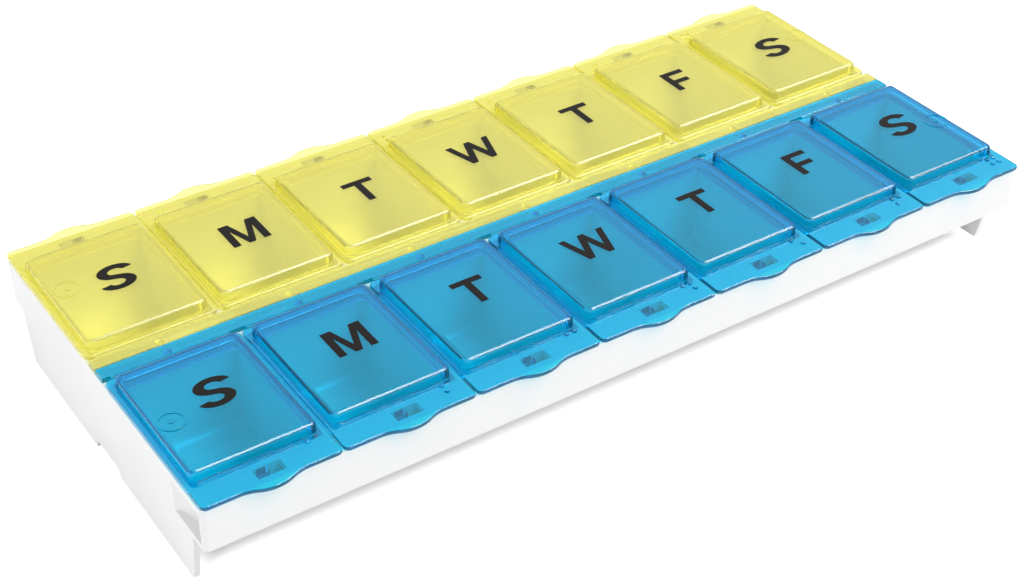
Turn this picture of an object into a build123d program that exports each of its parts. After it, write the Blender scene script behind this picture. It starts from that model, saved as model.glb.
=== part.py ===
from build123d import *
import os

# Weekly pill organiser: a moulded tray with two rows of scooped compartments under hinged snap lids.
# X runs along the week, Y from the blue row to the yellow row, Z up from the table. Millimetres.

# The week and the levels that every piece shares
days = ("sunday", "monday", "tuesday", "wednesday", "thursday", "friday", "saturday")
lid_pitch = 30.0
rim_height = 23.5
seat_gap = 0.1
lid_sheet = 1.0
overrun = 1.0

# Tray: outer walls, legs and the notch under each end
tray_reach = 47.6
tray_wall = 1.4
end_wall = 1.3
skirt_height = 10.5
corner_round = 1.2
leg_step = 5.1
leg_lean = 2.5
foot_round = 0.8
leg_notch_width = 11.2
leg_notch_height = 2.2

# Tray: the compartments and the rail between the two rows
floor_gap = 0.8
rail_half = 5.5
ledge_width = 6.0
partition = 1.8
scoop_radius = 16.5
heel_radius = 2.0
pocket_round = 1.0

# Tray: the hollow finger flute at each front corner
flute_width = 11.4
flute_depth = 2.2
flute_wall = 1.0
flute_margin = 0.5
flute_ceiling = 1.6
flute_floor = 1.2

# Lid: flange, thumb tab and raised panel
lid_slit = 0.4
tab_overhang = 0.7
lid_corner = 1.2
lid_edge_round = 0.3
bulge_half = 7.4
bulge_reach = 1.7
panel_rear_gap = 0.6
panel_front_gap = 0.65
panel_side = 1.5
panel_rise = 2.2
panel_wall = 0.9
panel_corner = 1.5
panel_edge_round = 1.0
panel_draft_angle = 4.0
skirt_drop = 1.1

# Lid: the moulding mark on the panel of each end lid, a low ring round a nub
mark_inset = 3.7
mark_reach = 19.3
mark_radius = 2.9
mark_ring = 0.4
mark_nub_radius = 0.6
mark_rise = 0.15

# Lid: the raised dots on the thumb tab that number the days by touch, as columns and rows of a cell
dot_cells = (
    ((0, 0),),
    ((0, 0), (0, 1)),
    ((0, 0), (1, 0)),
    ((0, 0), (1, 0), (1, 1)),
    ((0, 0), (1, 1)),
    ((0, 0), (0, 1), (1, 0)),
    ((0, 0), (0, 1), (1, 0), (1, 1)),
)
dot_side = 10.1
dot_step = 0.8
dot_pitch = 1.9
dot_radius = 0.6
dot_rise = 0.4
dot_round = 0.3

# Lid: latch stud under the thumb tab, and its slot in the tray's ledge
latch_width = 2.4
latch_drop = 2.6
latch_round = 0.5
slot_width = 6.0
slot_shift = 0.8
slot_margin = 0.1
slot_gap = 0.4

# Hinge strip, its welded pegs and the living-hinge films
strip_gap = 0.3
hinge_inset = 1.5
film_length = 1.0
film_thickness = 0.5
film_margin = 1.6
peg_line = 1.85
peg_radius = 0.9
peg_clearance = 0.1
peg_length = 0.8
peg_end_gap = 0.1

# Levels and lengths that follow from the sizes above
tray_length = len(days) * lid_pitch
lid_base = rim_height + seat_gap
lid_face = lid_base + lid_sheet
skirt_bottom = rim_height - skirt_height
pocket_floor = floor_gap + tray_wall
pocket_reach = tray_reach - ledge_width
leg_shoulder = tray_reach - leg_step
leg_reach = leg_shoulder - leg_lean
lid_width = lid_pitch - lid_slit
lid_reach = tray_reach + tab_overhang
panel_width = lid_pitch - 2 * panel_side
panel_rear = rail_half + panel_rear_gap
panel_front = pocket_reach - panel_front_gap
slot_near = pocket_reach + tray_wall + slot_margin
slot_far = tray_reach - tray_wall - slot_margin
slot_left = -slot_width / 2 - slot_shift
slot_right = slot_width / 2 - slot_shift
hinge_line = rail_half - hinge_inset
hinge_gap_near = hinge_line - film_length / 2
hinge_gap_far = hinge_line + film_length / 2
day_places = [(number - (len(days) - 1) / 2) * lid_pitch for number in range(len(days))]
row_turns = {"blue": 180, "yellow": 0}


def block(low, high):
    """A box between two corners."""
    size = Vector(*high) - Vector(*low)
    middle = (Vector(*low) + Vector(*high)) / 2
    return Pos(*middle) * Box(*size)


def trough_outline(rear, front, floor, heel, scoop, top):
    """The cross-section of one compartment: upright back, flat floor, and a floor that scoops up in front."""
    edges = [
        Line((rear, top), (rear, floor + heel)),
        TangentArc((rear, floor + heel), (rear + heel, floor), tangent=(0, -1)),
        Line((rear + heel, floor), (front - scoop, floor)),
        TangentArc((front - scoop, floor), (front, floor + scoop), tangent=(1, 0)),
        Line((front, floor + scoop), (front, top)),
        Line((front, top), (rear, top)),
    ]
    return Plane.YZ * make_face(edges)


def trough(outline, start, end):
    """A cross-section drawn out along the row from start to end."""
    return Pos(start, 0, 0) * extrude(outline, end - start)


def pocket(day_number):
    """The hollow of one compartment, with rounded inner corners."""
    outline = trough_outline(
        rail_half, pocket_reach, pocket_floor, heel_radius, scoop_radius, rim_height + overrun
    )
    middle = day_places[day_number]
    start = middle - lid_pitch / 2 + (end_wall if day_number == 0 else partition / 2)
    end = middle + lid_pitch / 2 - (end_wall if day_number == len(days) - 1 else partition / 2)
    hollow = trough(outline, start, end)
    ends = hollow.edges().filter_by(Axis.X, reverse=True).filter_by_position(
        Axis.Z, 0, rim_height + overrun / 2
    )
    return fillet(ends, pocket_round)


def tray_row():
    """One row of compartments with its ledge and outer wall, on the +Y side."""
    half = tray_length / 2
    shell = trough(
        trough_outline(
            rail_half - tray_wall,
            pocket_reach + tray_wall,
            floor_gap,
            heel_radius + tray_wall,
            scoop_radius + tray_wall,
            rim_height,
        ),
        -half,
        half,
    )
    ledge = block((-half, pocket_reach, rim_height - tray_wall), (half, tray_reach, rim_height))
    front_wall = block((-half, tray_reach - tray_wall, skirt_bottom), (half, tray_reach, rim_height))
    row = shell + ledge + front_wall
    for number, middle in enumerate(day_places):
        row -= pocket(number)
        row -= latch_slot(middle)
    return row


def latch_slot(middle):
    """The slot in the ledge that a lid's latch stud drops into."""
    return block(
        (middle + slot_left, slot_near, rim_height - tray_wall - overrun),
        (middle + slot_right, slot_far, rim_height + overrun),
    )


def end_plate():
    """The flat end of the tray, which runs down to two feet with a notch between them."""
    half_notch = leg_notch_width / 2
    half_outline = [
        (tray_reach, rim_height),
        (tray_reach, skirt_bottom),
        (leg_shoulder, skirt_bottom),
        (leg_reach, 0),
        (half_notch, 0),
        (half_notch, leg_notch_height),
    ]
    other_half = [(-across, up) for across, up in reversed(half_outline)]
    outline = make_face(Polyline(*half_outline, *other_half, close=True))
    feet = outline.vertices().filter_by(lambda corner: corner.Y < leg_notch_height / 2)
    return Pos(-tray_length / 2, 0, 0) * extrude(Plane.YZ * fillet(feet, foot_round), end_wall)


def flute_block():
    """The thickened front corner that a finger flute is hollowed from, at the start of the week."""
    end = -tray_length / 2
    middle = -tray_reach + corner_round + flute_width / 2
    return block(
        (end, -tray_reach, skirt_bottom),
        (end + flute_depth + flute_wall, middle + flute_width / 2 + flute_margin, rim_height - flute_ceiling),
    )


def flute_cut():
    """The upright round hollow of a finger flute, open to the end of the tray."""
    end = -tray_length / 2
    middle = -tray_reach + corner_round + flute_width / 2
    radius = (flute_width**2 / 4 + flute_depth**2) / (2 * flute_depth)
    low = skirt_bottom + flute_floor
    height = rim_height - flute_ceiling - low
    return Pos(end + flute_depth - radius, middle, low + height / 2) * Cylinder(radius, height)


def make_tray():
    """The whole white moulding."""
    half = tray_length / 2
    tray = block((-half, -rail_half, rim_height - tray_wall), (half, rail_half, rim_height))
    for turn in row_turns.values():
        tray += Rot(0, 0, turn) * tray_row()
    plate = end_plate()
    tray += plate + mirror(plate, Plane.YZ)
    corner, cut = flute_block(), flute_cut()
    tray += corner + mirror(corner, Plane.YZ)
    uprights = tray.edges().filter_by(Axis.Z).filter_by(
        lambda edge: abs(edge.center().X) > half - end_wall / 2
        and abs(edge.center().Y) > tray_reach - tray_wall / 2
    )
    tray = fillet(uprights, corner_round)
    tray -= cut + mirror(cut, Plane.YZ)
    for middle in day_places:
        for side in (peg_line, -peg_line):
            tray -= Pos(middle, side, rim_height) * Cylinder(
                peg_radius + peg_clearance, (peg_length + peg_end_gap) * 2
            )
    return tray


def flange_outline():
    """A lid's flange seen from above: round corners and a thumb tab that swells in the middle."""
    side = lid_width / 2
    swell = bulge_half / 2
    tip = lid_reach + bulge_reach
    turn = lid_reach + bulge_reach / 2
    edges = [
        Polyline((bulge_half, lid_reach), (side, lid_reach), (side, hinge_gap_far)),
        Line((side, hinge_gap_far), (-side, hinge_gap_far)),
        Polyline((-side, hinge_gap_far), (-side, lid_reach), (-bulge_half, lid_reach)),
        TangentArc((-bulge_half, lid_reach), (-swell, turn), tangent=(1, 0)),
        ThreePointArc((-swell, turn), (0, tip), (swell, turn)),
        TangentArc((bulge_half, lid_reach), (swell, turn), tangent=(-1, 0)),
    ]
    face = make_face(edges)
    corners = face.vertices().filter_by(lambda corner: abs(corner.X) > side - lid_corner)
    return fillet(corners, lid_corner)


def panel_outline(inset):
    """The raised panel seen from above, drawn in by inset."""
    width = panel_width - 2 * inset
    depth = panel_front - panel_rear - 2 * inset
    return Pos(0, (panel_rear + panel_front) / 2) * RectangleRounded(width, depth, panel_corner)


def panel_body(inset, bottom, top):
    """The raised panel's form: upright below the flange's face, drafted above it."""
    upright = Pos(0, 0, bottom) * extrude(panel_outline(inset), lid_face - bottom)
    raised = Pos(0, 0, lid_face) * extrude(panel_outline(inset), top - lid_face, taper=panel_draft_angle)
    return upright + raised


def moulding_mark(side):
    """The low ring and nub on an end lid's panel, towards the side that faces the tray's end."""
    place = Pos(side * (panel_width / 2 - mark_inset), panel_rear + mark_reach, lid_face + panel_rise)
    ring = Circle(mark_radius) - Circle(mark_radius - mark_ring) + Circle(mark_nub_radius)
    return place * extrude(ring, mark_rise)


def touch_dots(cells):
    """The raised dots of one day on the +Y side."""
    dot = Pos(0, 0, lid_face + dot_rise / 2) * Cylinder(dot_radius, dot_rise)
    dot = fillet(dot.faces().sort_by(Axis.Z)[-1].edges(), dot_round)
    return [
        Pos(-dot_side - column * dot_pitch, pocket_reach + dot_step + row * dot_pitch, 0) * dot
        for column, row in cells
    ]


def make_lid():
    """One lid on the +Y side, centred on its day."""
    flange = Pos(0, 0, lid_base) * extrude(flange_outline(), lid_sheet)
    flange = fillet(flange.edges().filter_by(Axis.Z, reverse=True), lid_edge_round)
    bottom = lid_base - skirt_drop
    top = lid_face + panel_rise
    panel = panel_body(0, bottom, top)
    panel = fillet(panel.faces().sort_by(Axis.Z)[-1].edges(), panel_edge_round)
    hollow = panel_body(panel_wall, bottom - overrun, top - lid_sheet)
    return flange + panel - hollow + latch_stud()


def latch_stud():
    """The stud under the thumb tab, at one end of its slot, with round corners."""
    right = slot_right - slot_gap
    stud = block(
        (right - latch_width, slot_near + slot_gap, lid_base - latch_drop),
        (right, slot_far - slot_gap, lid_base),
    )
    return fillet(stud.edges().filter_by(Axis.Z), latch_round)


def make_film():
    """One living-hinge film on the +Y side, centred on its day."""
    half = lid_width / 2 - film_margin
    return block((-half, hinge_gap_near, lid_face - film_thickness), (half, hinge_gap_far, lid_face))


def make_strip():
    """One row's hinge strip on the +Y side, with a peg down into the rail for each day."""
    half = (tray_length - lid_slit) / 2
    strip = block((-half, strip_gap / 2, rim_height), (half, hinge_gap_near, lid_face))
    for middle in day_places:
        strip += Pos(middle, peg_line, rim_height - peg_length / 2) * Cylinder(peg_radius, peg_length)
    return strip


# Every piece, written to its own file
os.makedirs("parts", exist_ok=True)
pieces = {"tray": make_tray()}
lid, film, strip = make_lid(), make_film(), make_strip()
for colour, turn in row_turns.items():
    facing = 1 if turn == 0 else -1
    marks = {days[0]: moulding_mark(-facing), days[-1]: moulding_mark(facing)}
    pieces[f"{colour}_hinge_strip"] = Rot(0, 0, turn) * strip
    for day, middle, cells in zip(days, day_places, dot_cells):
        place = Pos(middle, 0, 0) * Rot(0, 0, turn)
        day_lid = lid + touch_dots(cells)
        pieces[f"{colour}_lid_{day}"] = place * (day_lid + marks[day] if day in marks else day_lid)
        pieces[f"{colour}_hinge_film_{day}"] = place * film
for name, piece in pieces.items():
    export_step(piece, f"parts/{name}.step")
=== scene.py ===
import math

import bmesh
import bpy
from mathutils import Matrix, Vector


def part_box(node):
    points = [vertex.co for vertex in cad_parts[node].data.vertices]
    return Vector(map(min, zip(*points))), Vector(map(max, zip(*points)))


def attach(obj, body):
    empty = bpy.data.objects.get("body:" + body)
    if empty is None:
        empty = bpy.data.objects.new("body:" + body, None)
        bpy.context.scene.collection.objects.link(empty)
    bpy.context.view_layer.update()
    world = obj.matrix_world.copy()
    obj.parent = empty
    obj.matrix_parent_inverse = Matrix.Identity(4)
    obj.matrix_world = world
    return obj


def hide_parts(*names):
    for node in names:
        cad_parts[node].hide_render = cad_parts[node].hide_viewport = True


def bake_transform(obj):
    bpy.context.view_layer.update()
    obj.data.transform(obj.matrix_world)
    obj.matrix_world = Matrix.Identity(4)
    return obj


# Weekly pill organiser: a white tray under two rows of see-through snap lids, put together from the
# tray upwards. Metres, in the part's own frame: X along the week, Y from the blue row to the yellow
# row, Z up from the table.
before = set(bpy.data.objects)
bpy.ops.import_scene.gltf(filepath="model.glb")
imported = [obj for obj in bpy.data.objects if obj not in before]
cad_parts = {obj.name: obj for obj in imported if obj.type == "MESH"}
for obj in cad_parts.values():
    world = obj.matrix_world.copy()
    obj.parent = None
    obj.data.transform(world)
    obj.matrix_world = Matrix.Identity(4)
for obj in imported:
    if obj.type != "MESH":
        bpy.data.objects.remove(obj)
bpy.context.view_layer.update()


# Tray: one white polypropylene moulding that the compartments, ledges and feet are all part of.
# Its skin is satin with a faint spark-eroded grain, and its white is very slightly uneven.
millimetre = 0.001
tray_whites = ((0.84, 0.84, 0.84, 1), (0.815, 0.816, 0.82, 1))
tray_shine = (0.34, 0.46)
tray_bump = 0.012 * millimetre
tray_ior = 1.49


def moulded_skin():
    """Node group of a moulded plastic skin: slow unevenness, fine grain and the height of both."""
    skin = bpy.data.node_groups.new("moulded_skin", "ShaderNodeTree")
    for label, start in (("Slow Scale", 60.0), ("Grain Scale", 3000.0), ("Grain Share", 0.5)):
        socket = skin.interface.new_socket(label, in_out="INPUT", socket_type="NodeSocketFloat")
        socket.default_value = start
    for label in ("Uneven", "Grain", "Height"):
        skin.interface.new_socket(label, in_out="OUTPUT", socket_type="NodeSocketFloat")
    inside, outside = skin.nodes.new("NodeGroupInput"), skin.nodes.new("NodeGroupOutput")
    place = skin.nodes.new("ShaderNodeTexCoord")
    slow, grain = skin.nodes.new("ShaderNodeTexNoise"), skin.nodes.new("ShaderNodeTexNoise")
    slow.inputs["Detail"].default_value = 2
    grain.inputs["Detail"].default_value = 3
    height = skin.nodes.new("ShaderNodeMix")
    for noise, scale in ((slow, "Slow Scale"), (grain, "Grain Scale")):
        skin.links.new(place.outputs["Object"], noise.inputs["Vector"])
        skin.links.new(inside.outputs[scale], noise.inputs["Scale"])
    skin.links.new(inside.outputs["Grain Share"], height.inputs["Factor"])
    skin.links.new(slow.outputs["Fac"], height.inputs["A"])
    skin.links.new(grain.outputs["Fac"], height.inputs["B"])
    skin.links.new(slow.outputs["Fac"], outside.inputs["Uneven"])
    skin.links.new(grain.outputs["Fac"], outside.inputs["Grain"])
    skin.links.new(height.outputs["Result"], outside.inputs["Height"])
    return skin


def skin_material(name, skin, colours, shine, bump, slow_scale, grain_scale, grain_share):
    """A Principled material whose colour, roughness and bump come from the moulded skin."""
    material = bpy.data.materials.new(name)
    material.use_nodes = True
    nodes, links = material.node_tree.nodes, material.node_tree.links
    shader = nodes["Principled BSDF"]
    group = nodes.new("ShaderNodeGroup")
    group.node_tree = skin
    group.inputs["Slow Scale"].default_value = slow_scale
    group.inputs["Grain Scale"].default_value = grain_scale
    group.inputs["Grain Share"].default_value = grain_share
    tint = nodes.new("ShaderNodeMix")
    tint.data_type = "RGBA"
    tint.inputs["A"].default_value, tint.inputs["B"].default_value = colours
    gloss = nodes.new("ShaderNodeMapRange")
    gloss.inputs["To Min"].default_value, gloss.inputs["To Max"].default_value = shine
    relief = nodes.new("ShaderNodeBump")
    relief.inputs["Distance"].default_value = bump
    links.new(group.outputs["Uneven"], tint.inputs["Factor"])
    links.new(tint.outputs["Result"], shader.inputs["Base Color"])
    links.new(group.outputs["Uneven"], gloss.inputs["Value"])
    links.new(gloss.outputs["Result"], shader.inputs["Roughness"])
    links.new(group.outputs["Height"], relief.inputs["Height"])
    links.new(relief.outputs["Normal"], shader.inputs["Normal"])
    return material


def wear_finish(node, material):
    """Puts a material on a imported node."""
    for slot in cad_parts[node].material_slots:
        slot.material = material


skin = moulded_skin()
tray_finish = skin_material(
    "tray_white", skin, tray_whites, tray_shine, tray_bump, slow_scale=45, grain_scale=2600, grain_share=0.6
)
tray_finish.node_tree.nodes["Principled BSDF"].inputs["IOR"].default_value = tray_ior
wear_finish("tray", tray_finish)


# Hinge strips and lids: each row is one see-through polypropylene moulding, blue in front and yellow
# behind. A strip is welded to the tray's rail by short pegs, and its lids swing up on thin films.
# The blue is glassy, the yellow milkier, and both deepen where the light goes a long way through them.
days = ("sunday", "monday", "tuesday", "wednesday", "thursday", "friday", "saturday")
lid_tints = {
    "blue": ((0.018, 0.895, 0.985, 1), (0.014, 0.88, 0.975, 1)),
    "yellow": ((0.93, 0.905, 0.44, 1), (0.92, 0.89, 0.41, 1)),
}
lid_depths = {"blue": ((0.0, 0.74, 0.905, 1), 860), "yellow": ((0.985, 0.97, 0.0, 1), 300)}
lid_shine = {"blue": (0.02, 0.06), "yellow": (0.15, 0.22)}
lid_clear = {"blue": 0.93, "yellow": 0.79}
lid_bump = 0.01 * millimetre
lid_ior = 1.36


def lid_material(colour):
    """See-through lid plastic. Lamps and soft light pass it with its tint, and so reach the tray."""
    tints = lid_tints[colour]
    material = skin_material(
        f"lid_{colour}", skin, tints, lid_shine[colour], lid_bump,
        slow_scale=70, grain_scale=900, grain_share=0.1,
    )
    nodes, links = material.node_tree.nodes, material.node_tree.links
    shader, end = nodes["Principled BSDF"], nodes["Material Output"]
    shader.inputs["Transmission Weight"].default_value = lid_clear[colour]
    shader.inputs["IOR"].default_value = lid_ior
    way, either = nodes.new("ShaderNodeLightPath"), nodes.new("ShaderNodeMath")
    either.operation = "MAXIMUM"
    passing, choice = nodes.new("ShaderNodeBsdfTransparent"), nodes.new("ShaderNodeMixShader")
    # light crosses two faces of a lid, so each face takes the root of the tint
    passing.inputs["Color"].default_value = [math.sqrt(part) for part in tints[0][:3]] + [1]
    links.new(way.outputs["Is Shadow Ray"], either.inputs[0])
    links.new(way.outputs["Is Diffuse Ray"], either.inputs[1])
    links.new(either.outputs[0], choice.inputs[0])
    links.new(shader.outputs[0], choice.inputs[1])
    links.new(passing.outputs[0], choice.inputs[2])
    links.new(choice.outputs[0], end.inputs["Surface"])
    depth = nodes.new("ShaderNodeVolumeAbsorption")
    depth.inputs["Color"].default_value, depth.inputs["Density"].default_value = lid_depths[colour]
    links.new(depth.outputs[0], end.inputs["Volume"])
    return material


lid_finish = {colour: lid_material(colour) for colour in lid_tints}
for colour, finish in lid_finish.items():
    wear_finish(f"{colour}_hinge_strip", finish)
    for day in days:
        wear_finish(f"{colour}_lid_{day}", finish)


# Living hinges: a thin film of the lid's own plastic between its strip and each lid, moulded with a
# rounded groove above and below so that it bends along one line.
film_runs = 10
film_waist = 0.6


def piece_from(name, shape, material):
    """Makes an object of a bmesh, at the origin, with one material."""
    mesh = bpy.data.meshes.new(name)
    bmesh.ops.recalc_face_normals(shape, faces=shape.faces)
    shape.to_mesh(mesh)
    shape.free()
    mesh.materials.append(material)
    piece = bpy.data.objects.new(name, mesh)
    bpy.context.scene.collection.objects.link(piece)
    return piece


for colour, finish in lid_finish.items():
    for day in days:
        node = f"{colour}_hinge_film_{day}"
        low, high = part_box(node)
        middle, size = (low + high) / 2, high - low
        shape = bmesh.new()
        bmesh.ops.create_cube(shape, size=1)
        across = [edge for edge in shape.edges if abs(edge.verts[0].co.y - edge.verts[1].co.y) > 0.5]
        bmesh.ops.subdivide_edges(shape, edges=across, cuts=film_runs - 1, use_grid_fill=True)
        for point in shape.verts:
            point.co.z *= film_waist + (1 - film_waist) * (2 * point.co.y) ** 2
        bmesh.ops.scale(shape, vec=size, verts=shape.verts)
        bmesh.ops.translate(shape, vec=middle, verts=shape.verts)
        film = piece_from(f"{node}_bent", shape, finish)
        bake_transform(film)
        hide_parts(node)


# Day letters: pad-printed in black ink on each lid's raised panel, read from the front on both rows.
# The ink is a thin film with a slight gloss. A place is the shift from the lid's middle, then the line
# across the tray, and these sizes are in millimetres.
letter_height = 8.65
stem, bar = 1.75, 1.58
ink_sink, ink_rise = 0.02, 0.04
letter_places = {"blue": (1.0, -21.75), "yellow": (0.75, 23.9)}
ink_blacks = ((0.011, 0.009, 0.0085, 1), (0.014, 0.0115, 0.0105, 1))
ink_shine = (0.4, 0.55)
ink_bump = 0.004 * millimetre
ink_specular = 0.08


def outline_letter(points):
    """A flat letter from its outline, round its own centre."""
    shape = bmesh.new()
    shape.faces.new([shape.verts.new((x, y, 0)) for x, y in points])
    shape.normal_update()
    return shape


def letter_t():
    """T: a bar on a stem."""
    top, side, half = letter_height / 2, 3.75, stem / 2
    return outline_letter(
        [(-side, top), (-side, top - bar), (-half, top - bar), (-half, -top), (half, -top),
         (half, top - bar), (side, top - bar), (side, top)]
    )


def letter_f():
    """F: a stem with a long arm and a shorter one."""
    top, left, right, short, arm = letter_height / 2, -3.1, 3.3, 2.55, -0.35
    inner, over, under = left + stem, arm + bar / 2, arm - bar / 2
    return outline_letter(
        [(left, top), (left, -top), (inner, -top), (inner, under), (short, under), (short, over),
         (inner, over), (inner, top - bar), (right, top - bar), (right, top)]
    )


def letter_m():
    """M: two stems with a V between them that reaches the line."""
    top, side, head, tip, notch = letter_height / 2, 4.5, 2.45, 0.78, -2.0
    slope = (top - notch) / (side - head)
    elbow = -top + slope * (side - stem - tip)
    return outline_letter(
        [(-side, -top), (-side + stem, -top), (-side + stem, elbow), (-tip, -top), (tip, -top),
         (side - stem, elbow), (side - stem, -top), (side, -top), (side, top), (side - head, top),
         (0, notch), (-side + head, top), (-side, top)]
    )


def letter_w():
    """W: two V shapes side by side."""
    top, side, head, foot, tip = letter_height / 2, 5.75, 1.6, 2.55, 0.74
    fall = (side - foot - tip) / letter_height
    notch = top - (side - head - foot) / fall
    return outline_letter(
        [(-side, top), (-foot - tip, -top), (-foot + tip, -top), (0, -notch), (foot - tip, -top),
         (foot + tip, -top), (side, top), (side - head, top), (foot, notch), (tip, top), (-tip, top),
         (-foot, notch), (-side + head, top)]
    )


def letter_s():
    """S: a stroke spun round the upper bowl and run down to the middle, then the same half turned."""
    bowl, width, spine, start, sweep, runs = 1.75, 1.45, 0.55, 12, 232, 26
    letter_width, overshoot, weld = 8.9, 0.3, 0.01
    shape = bmesh.new()
    first = [shape.verts.new((bowl + side * width / 2, 0, 0)) for side in (-1, 1)]
    stroke = shape.edges.new(first)
    bmesh.ops.rotate(shape, matrix=Matrix.Rotation(math.radians(start), 3, "Z"), verts=first)
    spun = bmesh.ops.spin(
        shape, geom=[*first, stroke], axis=(0, 0, 1), cent=(0, 0, 0), angle=math.radians(sweep), steps=runs
    )
    last = [part for part in spun["geom_last"] if isinstance(part, bmesh.types.BMEdge)]
    run = bmesh.ops.extrude_edge_only(shape, edges=last)
    tips = [part for part in run["geom"] if isinstance(part, bmesh.types.BMVert)]
    turned = math.radians(start + sweep)
    along = Vector((-math.sin(turned), math.cos(turned), 0))
    bmesh.ops.translate(shape, vec=along * spine, verts=tips)
    bmesh.ops.translate(shape, vec=-(tips[0].co + tips[1].co) / 2, verts=shape.verts)
    half = bmesh.ops.duplicate(shape, geom=shape.verts[:] + shape.edges[:] + shape.faces[:])
    lower = [part for part in half["geom"] if isinstance(part, bmesh.types.BMVert)]
    bmesh.ops.rotate(shape, matrix=Matrix.Rotation(math.pi, 3, "Z"), verts=lower)
    bmesh.ops.remove_doubles(shape, verts=shape.verts, dist=weld)
    reach = [max(point.co[axis] for point in shape.verts) for axis in (0, 1)]
    fit = (letter_width / 2 / reach[0], (letter_height + overshoot) / 2 / reach[1], 1)
    bmesh.ops.scale(shape, vec=fit, verts=shape.verts)
    bmesh.ops.recalc_face_normals(shape, faces=shape.faces)
    return shape


letter_ink = skin_material(
    "letter_ink", skin, ink_blacks, ink_shine, ink_bump, slow_scale=400, grain_scale=5000, grain_share=0.7
)
letter_ink.node_tree.nodes["Principled BSDF"].inputs["Specular IOR Level"].default_value = ink_specular
letter_makers = {"s": letter_s, "t": letter_t, "f": letter_f, "m": letter_m, "w": letter_w}
for colour, (shift, line) in letter_places.items():
    # an end lid has a low moulding mark on its panel, so a lid without one gives the panel's top
    panel_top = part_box(f"{colour}_lid_monday")[1].z
    for day in days:
        low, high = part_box(f"{colour}_lid_{day}")
        shape = letter_makers[day[0]]()
        bmesh.ops.triangulate(shape, faces=shape.faces)
        walls = bmesh.ops.extrude_face_region(shape, geom=shape.faces[:])
        raised = [part for part in walls["geom"] if isinstance(part, bmesh.types.BMVert)]
        bmesh.ops.translate(shape, vec=(0, 0, ink_sink + ink_rise), verts=raised)
        bmesh.ops.scale(shape, vec=(millimetre,) * 3, verts=shape.verts)
        along = (low.x + high.x) / 2 + shift * millimetre
        place = Vector((along, line * millimetre, panel_top - ink_sink * millimetre))
        bmesh.ops.translate(shape, vec=place, verts=shape.verts)
        letter = piece_from(f"{colour}_letter_{day}", shape, letter_ink)
        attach(letter, f"{colour}_lid_{day}")


# Studio: a pale floor that shows white to the camera and keeps the shadow, with painted shade under the
# tray, a soft light all round, softboxes from the front right and the left, and a strip overhead that
# only shows in glossy edges.
floor_half, floor_white, floor_glow = 3.0, (0.8, 0.8, 0.8, 1), 0.84
# the floor's lift to white is left out over the tray's footprint and fades in over this border, which
# paints shade under the tray
painted_shade_half, painted_shade_fade = (0.096, 0.033), 0.007
sky_white, sky_light, sky_seen = (1, 1, 1, 1), 0.55, 1.0
camera_sensor, camera_lens = 36, 64.194
camera_place = (-0.193257, -0.280754, 0.253486)
camera_turns = (53.5315, -0.1675, -33.7314)


def looked_at(tree):
    """One for a ray from the camera, or from it by a reflection or through a lid, and else nought."""
    way = tree.nodes.new("ShaderNodeLightPath")
    seen = way.outputs["Is Camera Ray"]
    for kind in ("Is Glossy Ray", "Is Transmission Ray"):
        either = tree.nodes.new("ShaderNodeMath")
        either.operation = "MAXIMUM"
        tree.links.new(seen, either.inputs[0])
        tree.links.new(way.outputs[kind], either.inputs[1])
        seen = either.outputs[0]
    return seen


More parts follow.
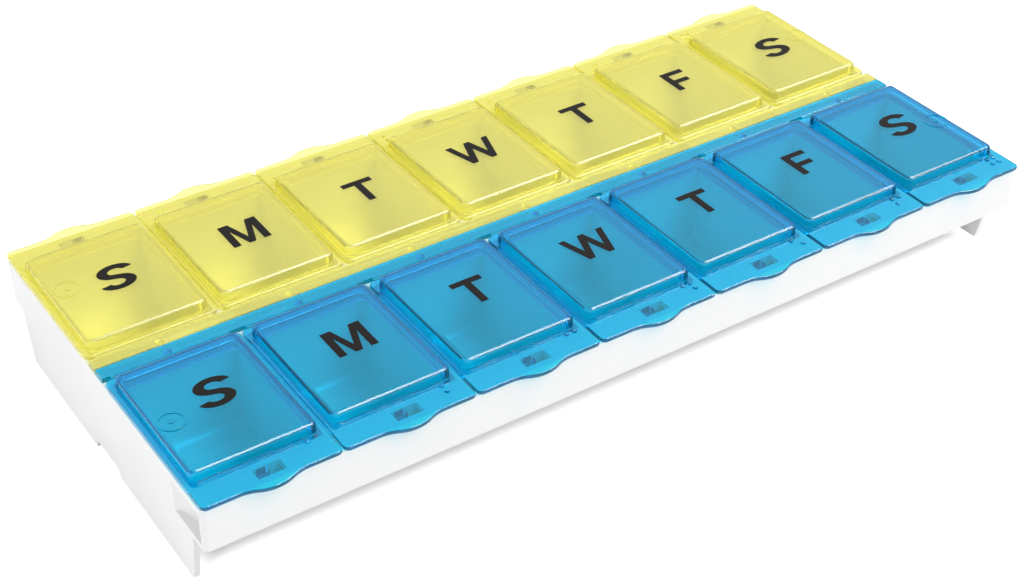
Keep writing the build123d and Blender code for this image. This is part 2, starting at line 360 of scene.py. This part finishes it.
def floor_material():
    """Pale floor that is lifted to white where it is looked at, less the shadow, and left unlifted under
    the tray as painted shade.
    """
    material = bpy.data.materials.new("floor_white")
    material.use_nodes = True
    nodes, links = material.node_tree.nodes, material.node_tree.links
    nodes.remove(nodes["Principled BSDF"])
    place, parts = nodes.new("ShaderNodeTexCoord"), nodes.new("ShaderNodeSeparateXYZ")
    outer, lift, strength = (
        nodes.new(kind) for kind in ("ShaderNodeMath", "ShaderNodeMapRange", "ShaderNodeMath")
    )
    outer.operation, strength.operation = "MAXIMUM", "MULTIPLY"
    links.new(place.outputs["Object"], parts.inputs[0])
    for axis, half in enumerate(painted_shade_half):
        size, past = nodes.new("ShaderNodeMath"), nodes.new("ShaderNodeMath")
        size.operation, past.operation = "ABSOLUTE", "SUBTRACT"
        past.inputs[1].default_value = half
        links.new(parts.outputs[axis], size.inputs[0])
        links.new(size.outputs[0], past.inputs[0])
        links.new(past.outputs[0], outer.inputs[axis])
    # the lift grows from nought at the tray's footprint over the border: painted shade under the tray
    lift.inputs["From Max"].default_value = painted_shade_fade
    lift.inputs["To Max"].default_value = floor_glow
    links.new(outer.outputs[0], lift.inputs["Value"])
    links.new(looked_at(material.node_tree), strength.inputs[0])
    links.new(lift.outputs["Result"], strength.inputs[1])
    plain, glow, both = (
        nodes.new(kind) for kind in ("ShaderNodeBsdfDiffuse", "ShaderNodeEmission", "ShaderNodeAddShader")
    )
    plain.inputs["Color"].default_value = floor_white
    links.new(strength.outputs[0], glow.inputs["Strength"])
    links.new(plain.outputs[0], both.inputs[0])
    links.new(glow.outputs[0], both.inputs[1])
    links.new(both.outputs[0], nodes["Material Output"].inputs["Surface"])
    return material


floor_shape = bmesh.new()
bmesh.ops.create_grid(floor_shape, x_segments=1, y_segments=1, size=floor_half)
floor = piece_from("floor", floor_shape, floor_material())

world = bpy.data.worlds.new("studio")
bpy.context.scene.world = world
world.use_nodes = True
sky = world.node_tree
level = sky.nodes.new("ShaderNodeMapRange")
level.inputs["To Min"].default_value, level.inputs["To Max"].default_value = sky_light, sky_seen
sky.links.new(looked_at(sky), level.inputs["Value"])
sky.links.new(level.outputs["Result"], sky.nodes["Background"].inputs["Strength"])
sky.nodes["Background"].inputs["Color"].default_value = sky_white


def softbox(name, side, distance, size, radiance):
    """A softbox that faces the middle of the tray, by the way it lies, its sides and its brightness."""
    lamp = bpy.data.lights.new(name, "AREA")
    lamp.shape = "RECTANGLE"
    lamp.size, lamp.size_y = size
    lamp.energy = 4 * radiance * size[0] * size[1]
    back = Vector(side).normalized()
    across = (Vector((1, 0, 0)) - back * back.x).normalized()
    box = bpy.data.objects.new(name, lamp)
    box.location = back * distance
    box.rotation_euler = Matrix((across, back.cross(across), back)).transposed().to_euler()
    bpy.context.scene.collection.objects.link(box)
    return box


softbox("key_front_right", side=(0.4, -0.44, 0.8), distance=1.4, size=(0.7, 0.7), radiance=6.3)
fill_left = softbox("fill_left", side=(-0.9, -0.25, 0.4), distance=1.8, size=(1.3, 1.3), radiance=1.5)
fill_left.visible_glossy = False
edge_strip = softbox("edge_strip", side=(0.475, -0.3, 0.828), distance=1.5, size=(0.9, 1.4), radiance=11.0)
edge_strip.visible_diffuse = edge_strip.visible_transmission = False

camera = bpy.data.objects.new("camera", bpy.data.cameras.new("camera"))
camera.data.sensor_width, camera.data.lens = camera_sensor, camera_lens
camera.location = camera_place
camera.rotation_euler = [math.radians(turn) for turn in camera_turns]
bpy.context.scene.collection.objects.link(camera)
bpy.context.scene.camera = camera
bpy.context.scene.view_settings.view_transform = "Standard"
